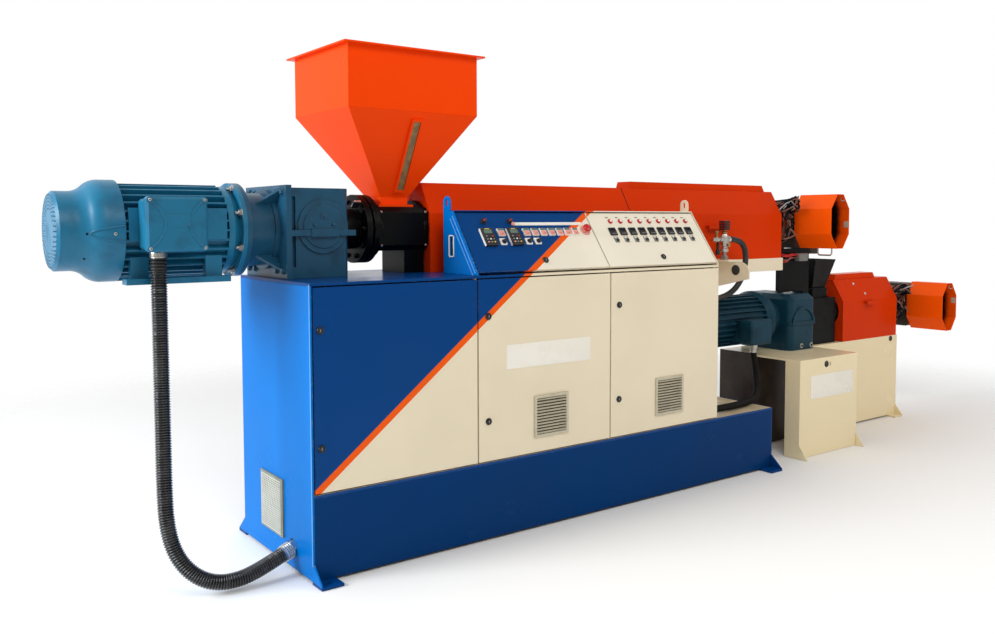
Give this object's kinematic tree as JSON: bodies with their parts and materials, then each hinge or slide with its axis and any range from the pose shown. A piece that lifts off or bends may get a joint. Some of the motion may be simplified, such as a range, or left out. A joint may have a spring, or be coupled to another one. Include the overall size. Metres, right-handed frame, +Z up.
{
  "type": "plastic extruder",
  "caption": "Two-stage plastic recycling extruder: hopper-fed barrel over a cabinet with sloping control desk, cascading into a second lower barrel on its own base.",
  "frame": {"origin": "on the floor under the middle of the overall plan", "axes": "+X along the machine from the main motor to the second stage, +Y away from the operator, +Z up"},
  "size_m": [6.31, 0.93, 2.297],
  "materials": {
    "blue_paint": "gloss",
    "cream_paint": "gloss",
    "blue_cream_paint": "gloss",
    "inner_paint": "gloss",
    "deck_paint": "satin",
    "orange_paint": "gloss",
    "drive_paint": "satin paint on casting",
    "black_paint": "satin",
    "steel": "machined",
    "heater": "heat tinted",
    "vent_plastic": "matte",
    "control_plastic": "gloss",
    "glass": "clear strip in a painted frame",
    "black_rubber": "ribbed"
  },
  "bodies": {
    "machine": {"barrels": "steel", "bed": "deck_paint", "bell_housing": "drive_paint", "bracket": "cream_paint", "cabinet_back": "inner_paint", "cabinet_walls": "cream_paint", "console_left_end": "blue_paint", "console_right_end": "cream_paint", "console_shell": "cream_paint", "coupling": "black_paint", "cover_caps": "orange_paint", "cover_feed_side": "orange_paint", "cover_head_side": "orange_paint", "deck": "deck_paint", "end_vent": "vent_plastic", "feed_throat": "black_paint", "foot_pads": "blue_paint", "funnel": "black_paint", "gearbox": "drive_paint", "glands": "steel", "guard_handle": "steel", "guard_one": "orange_paint", "guard_two": "orange_paint", "handles": "orange_paint", "head_support": "black_paint", "heater_bands": "heater", "hinge_pins": "steel", "hopper_bin": "orange_paint", "hopper_cone": "orange_paint", "left_end_plate": "blue_paint", "main_conduit": "black_rubber", "motor_cowl": "drive_paint", "motor_frame": "drive_paint", "plinth_end_plate": "blue_paint", "plinth_panels": "blue_paint", "rail": "cream_paint", "screen_changers": "steel", "second_base": "cream_paint", "second_conduit": "black_rubber", "second_cover": "orange_paint", "second_gearbox": "drive_paint", "second_motor": "drive_paint", "second_terminal_box": "drive_paint", "second_throat": "black_paint", "sight_glass": "glass", "table": "cream_paint", "terminal_box": "drive_paint", "transfer_head": "steel", "valve": "steel", "valve_hose": "black_rubber"},
    "left_door": {"left_door": "blue_cream_paint"},
    "middle_door": {"middle_door": "blue_cream_paint", "middle_vent": "vent_plastic"},
    "right_door": {"right_door": "cream_paint", "right_vent": "vent_plastic"},
    "left_lid": {"left_lid": "blue_cream_paint", "left_controls": "control_plastic"},
    "right_lid": {"right_lid": "cream_paint", "right_controls": "control_plastic"}
  },
  "joints": [
    {"name": "left_door_hinge", "type": "hinge", "parent": "machine", "child": "left_door", "pos_m": [-1.474, -0.379, 0.8], "axis": [0, 0, 1], "range_deg": [0, 105]},
    {"name": "middle_door_hinge", "type": "hinge", "parent": "machine", "child": "middle_door", "pos_m": [-0.643, -0.379, 0.8], "axis": [0, 0, 1], "range_deg": [0, 105]},
    {"name": "right_door_hinge", "type": "hinge", "parent": "machine", "child": "right_door", "pos_m": [0.192, -0.379, 0.8], "axis": [0, 0, 1], "range_deg": [0, 105]},
    {"name": "left_lid_hinge", "type": "hinge", "parent": "machine", "child": "left_lid", "pos_m": [-1.05, -0.17822, 1.52982], "axis": [-1, 0, 0], "range_deg": [0, 60]},
    {"name": "right_lid_hinge", "type": "hinge", "parent": "machine", "child": "right_lid", "pos_m": [-0.2, -0.17822, 1.52982], "axis": [-1, 0, 0], "range_deg": [0, 60]}
  ]
}
